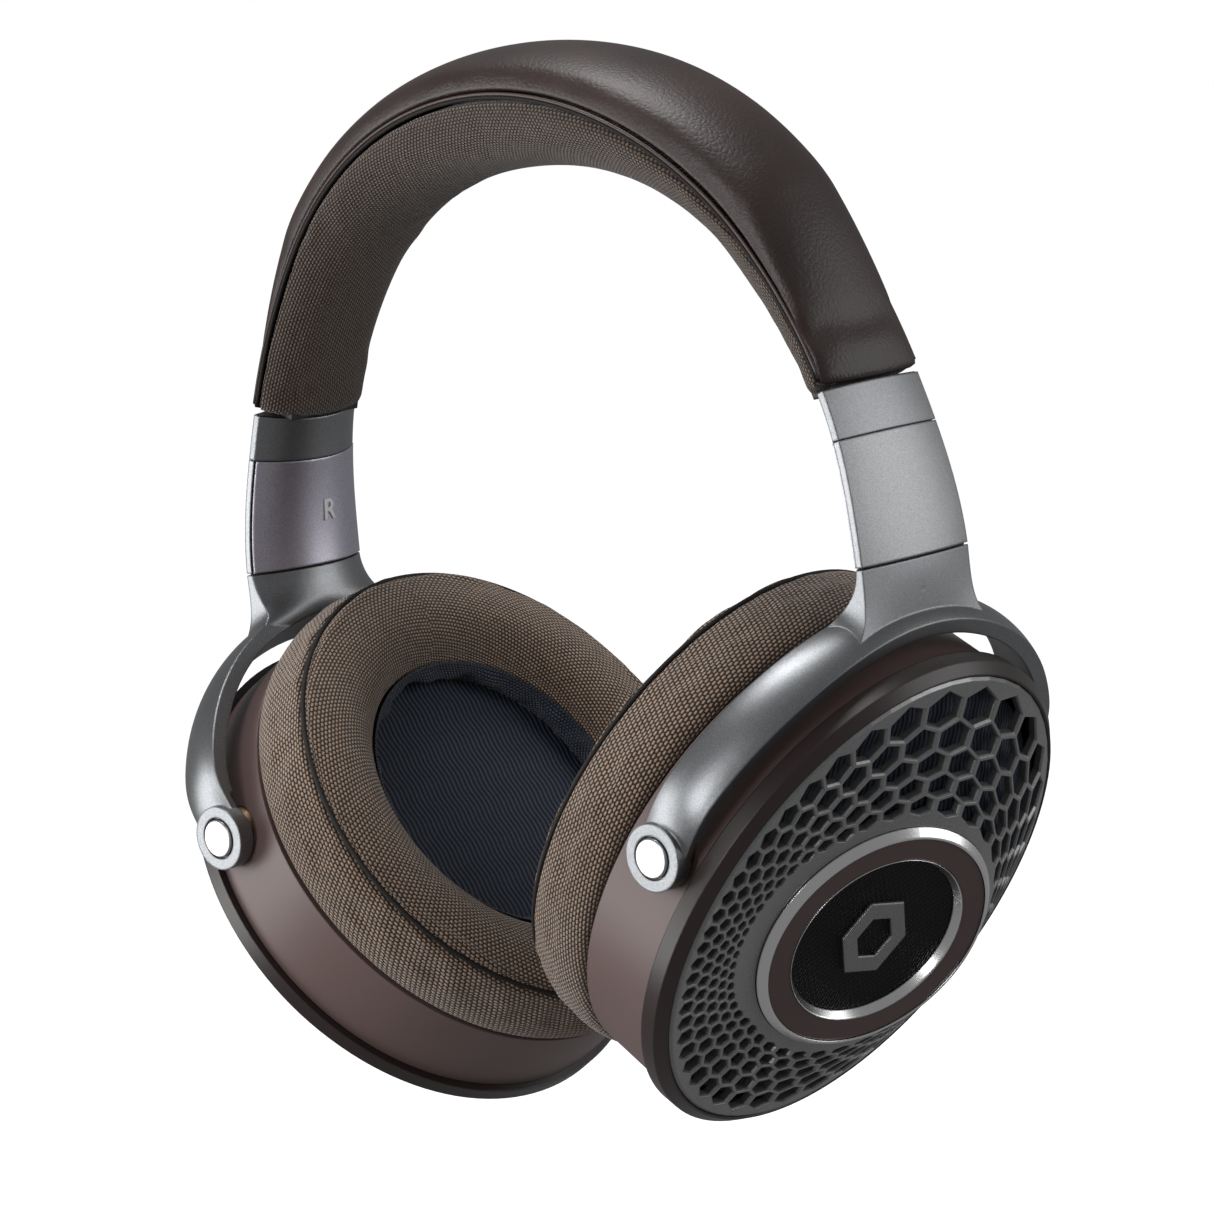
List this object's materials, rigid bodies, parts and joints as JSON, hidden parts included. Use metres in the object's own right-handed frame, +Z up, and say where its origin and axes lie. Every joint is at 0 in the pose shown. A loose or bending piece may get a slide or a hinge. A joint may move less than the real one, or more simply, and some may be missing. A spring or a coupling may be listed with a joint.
{
  "type": "over-ear headphones",
  "caption": "Open-backed over-ear headphones with a padded leather headband, sliding forks, tilting round cups, honeycomb grilles and thick woven ear pads.",
  "frame": {"origin": "underside of the headband pad at its highest point, where it rests on the head", "axes": "+Z up, +X towards the wearer's left, the wearer looks along -Y"},
  "size_m": [0.1608, 0.0994, 0.1918],
  "materials": {
    "leather": "grained, satin",
    "band_fabric": "woven mesh, matt",
    "pad_fabric": "woven mesh, matt",
    "navy_cloth": "woven, slight sheen",
    "black_mesh": "fine woven mesh",
    "steel": "drawn",
    "satin_metal": "bead-blasted, satin",
    "violet_metal": "anodised, satin",
    "bright_metal": "turned and polished",
    "dark_metal": "dark satin",
    "taupe": "matt paint",
    "dark_brown": "satin paint",
    "black_plastic": "moulded",
    "bronze": "sintered",
    "magnet": "nickel plated",
    "diaphragm": "thin formed foil",
    "socket": "gold flashed"
  },
  "bodies": {
    "headband": {"headband_leather": "leather", "headband_pad": "band_fabric", "headband_spring": "steel", "left_detent_spring": "steel", "left_end_cap": "satin_metal", "left_slider_guide": "black_plastic", "right_detent_spring": "steel", "right_end_cap": "satin_metal", "right_slider_guide": "black_plastic"},
    "left_cup": {"left_badge_ring": "dark_brown", "left_baffle": "black_plastic", "left_baffle_cloth": "navy_cloth", "left_baffle_screws": "steel", "left_cup_housing": "taupe", "left_driver_diaphragm": "diaphragm", "left_driver_frame": "black_plastic", "left_driver_magnet": "magnet", "left_ear_pad": "pad_fabric", "left_eye_bezel": "bright_metal", "left_eye_mesh": "black_mesh", "left_grille": "dark_metal", "left_grille_cloth": "navy_cloth", "left_jack_socket": "socket", "left_pad_ring": "black_plastic", "left_pivot_bushes": "bronze", "left_trim_ring": "dark_brown"},
    "left_fork": {"left_pivot_pins": "bright_metal", "left_swivel_bush": "bronze", "left_yoke": "satin_metal"},
    "left_slider": {"left_slider_inner_plate": "violet_metal", "left_slider_outer_shell": "satin_metal", "left_slider_strip": "steel", "left_swivel_shaft": "steel"},
    "right_cup": {"right_badge_ring": "dark_brown", "right_baffle": "black_plastic", "right_baffle_cloth": "navy_cloth", "right_baffle_screws": "steel", "right_cup_housing": "taupe", "right_driver_diaphragm": "diaphragm", "right_driver_frame": "black_plastic", "right_driver_magnet": "magnet", "right_ear_pad": "pad_fabric", "right_eye_bezel": "bright_metal", "right_eye_mesh": "black_mesh", "right_grille": "dark_metal", "right_grille_cloth": "navy_cloth", "right_pad_ring": "black_plastic", "right_pivot_bushes": "bronze", "right_trim_ring": "dark_brown"},
    "right_fork": {"right_pivot_pins": "bright_metal", "right_swivel_bush": "bronze", "right_yoke": "satin_metal"},
    "right_slider": {"right_slider_inner_plate": "violet_metal", "right_slider_outer_shell": "satin_metal", "right_slider_strip": "steel", "right_swivel_shaft": "steel"}
  },
  "joints": [
    {"name": "left_extend", "type": "slide", "parent": "headband", "child": "left_slider", "axis": [0.3256, 0, -0.9455], "range_m": [0, 0.022]},
    {"name": "left_swivel", "type": "hinge", "parent": "left_slider", "child": "left_fork", "pos_m": [0.07247, 0, -0.07045], "axis": [0.0349, 0, -0.9994], "range_deg": [-8, 8]},
    {"name": "left_tilt", "type": "hinge", "parent": "left_fork", "child": "left_cup", "pos_m": [0.0529, 0, -0.11291], "axis": [0, -1, 0], "range_deg": [0, 14]},
    {"name": "right_extend", "type": "slide", "parent": "headband", "child": "right_slider", "axis": [-0.3256, 0, -0.9455], "range_m": [0, 0.022]},
    {"name": "right_swivel", "type": "hinge", "parent": "right_slider", "child": "right_fork", "pos_m": [-0.07247, 0, -0.07045], "axis": [-0.0349, 0, -0.9994], "range_deg": [-8, 8]},
    {"name": "right_tilt", "type": "hinge", "parent": "right_fork", "child": "right_cup", "pos_m": [-0.0529, 0, -0.11291], "axis": [0, 1, 0], "range_deg": [0, 14]}
  ]
}
